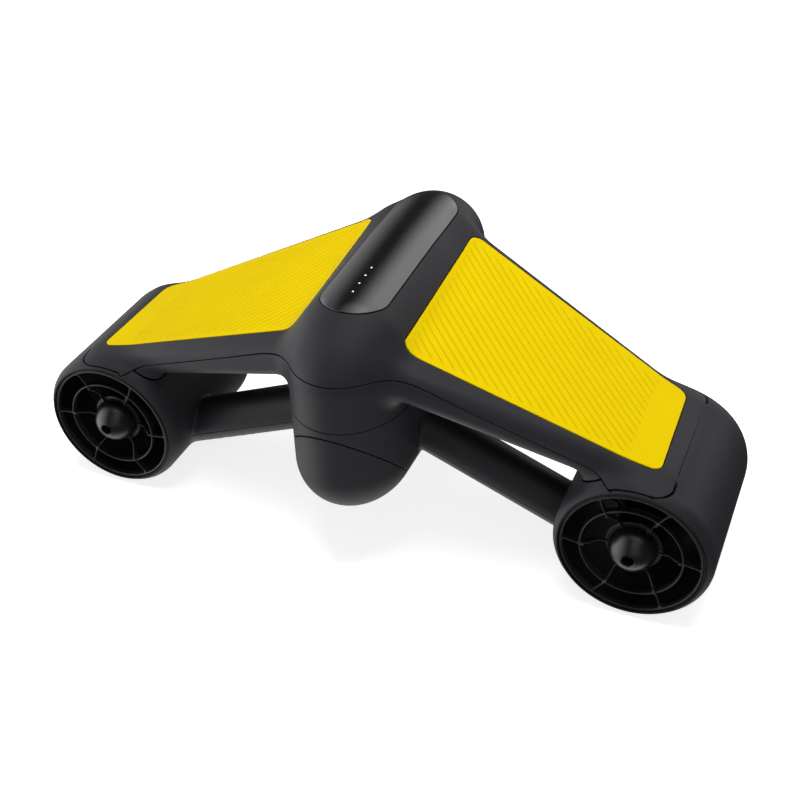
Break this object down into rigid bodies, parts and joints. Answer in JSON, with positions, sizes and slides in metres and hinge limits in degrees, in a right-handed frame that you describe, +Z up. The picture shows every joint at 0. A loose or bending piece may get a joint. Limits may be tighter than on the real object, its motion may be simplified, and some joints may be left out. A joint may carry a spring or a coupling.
{
  "type": "underwater scooter",
  "caption": "Hand-held underwater scooter: a battery pod with two drooping wings, a ducted propeller under each tip, handle bars with triggers, and ribbed deck panels.",
  "frame": {"origin": "middle of the footprint, at the height of the two resting flats under the ducts", "axes": "+Z up, +Y the direction of travel (the nose), +X the starboard wing"},
  "size_m": [0.509, 0.259, 0.2054],
  "materials": {
    "hull_plastic": "fine satin texture, charcoal with a slight violet tint",
    "panel_yellow": "satin, with fine diagonal ribs",
    "gloss_black": "polished black window",
    "guard_black": "smooth semi-gloss black",
    "prop_plastic": "glass-filled nylon",
    "steel": "stainless",
    "motor_aluminium": "anodised",
    "winding": null,
    "circuit_board": "solder resist",
    "seal_rubber": "moulded rubber",
    "cell_wrap": "shrink wrap",
    "cable_jacket": "jacketed cable"
  },
  "bodies": {
    "hull": {"top_shell": "hull_plastic", "lower_hull": "hull_plastic", "hatch_frame": "hull_plastic", "status_window": "gloss_black", "led_board": "circuit_board", "control_board": "circuit_board", "battery_sleeve": "guard_black", "battery_connector": "guard_black", "deck_panel_left": "panel_yellow", "deck_panel_right": "panel_yellow", "hull_screw_rear_left": "steel", "hull_screw_rear_right": "steel", "hull_screw_front_left": "steel", "hull_screw_front_right": "steel", "duct_housing_left": "hull_plastic", "rear_guard_left": "guard_black", "tail_cone_left": "guard_black", "front_guard_left": "guard_black", "motor_case_left": "motor_aluminium", "stator_left": "winding", "rear_bearing_left": "steel", "front_bearing_left": "steel", "grip_upper_left": "hull_plastic", "grip_lower_left": "hull_plastic", "trigger_pin_left": "steel", "trigger_spring_left": "steel", "trigger_board_left": "circuit_board", "power_cable_left": "cable_jacket", "duct_housing_right": "hull_plastic", "rear_guard_right": "guard_black", "tail_cone_right": "guard_black", "front_guard_right": "guard_black", "motor_case_right": "motor_aluminium", "stator_right": "winding", "rear_bearing_right": "steel", "front_bearing_right": "steel", "grip_upper_right": "hull_plastic", "grip_lower_right": "hull_plastic", "trigger_pin_right": "steel", "trigger_spring_right": "steel", "trigger_board_right": "circuit_board", "power_cable_right": "cable_jacket"},
    "drive_left": {"propeller_left": "prop_plastic", "prop_nut_left": "steel", "motor_shaft_left": "steel", "rotor_left": "steel"},
    "drive_right": {"propeller_right": "prop_plastic", "prop_nut_right": "steel", "motor_shaft_right": "steel", "rotor_right": "steel"},
    "trigger_lever_left": {"trigger_left": "guard_black"},
    "trigger_lever_right": {"trigger_right": "guard_black"},
    "battery_module": {"tail_cap": "hull_plastic", "battery_case": "guard_black", "cell_pack": "cell_wrap", "battery_seal": "seal_rubber"}
  },
  "joints": [
    {"name": "propeller_left_spin", "type": "hinge", "parent": "hull", "child": "drive_left", "pos_m": [-0.2, -0.061, 0.05405], "axis": [0, 1, 0], "continuous": true},
    {"name": "propeller_right_spin", "type": "hinge", "parent": "hull", "child": "drive_right", "pos_m": [0.2, -0.061, 0.05405], "axis": [0, 1, 0], "continuous": true},
    {"name": "trigger_left_press", "type": "hinge", "parent": "hull", "child": "trigger_lever_left", "pos_m": [-0.14214, -0.04441, 0.03404], "axis": [0.0982, -0.9659, -0.2395], "range_deg": [0, 4.5], "stiffness_Nm_per_rad": 0.1, "deforming": ["trigger_spring_left"]},
    {"name": "trigger_right_press", "type": "hinge", "parent": "hull", "child": "trigger_lever_right", "pos_m": [0.14214, -0.04441, 0.03404], "axis": [0.0982, 0.9659, 0.2395], "range_deg": [0, 4.5], "stiffness_Nm_per_rad": 0.1, "deforming": ["trigger_spring_right"]},
    {"name": "battery_slide", "type": "slide", "parent": "hull", "child": "battery_module", "axis": [0, -1, 0], "range_m": [0, 0.18]}
  ]
}
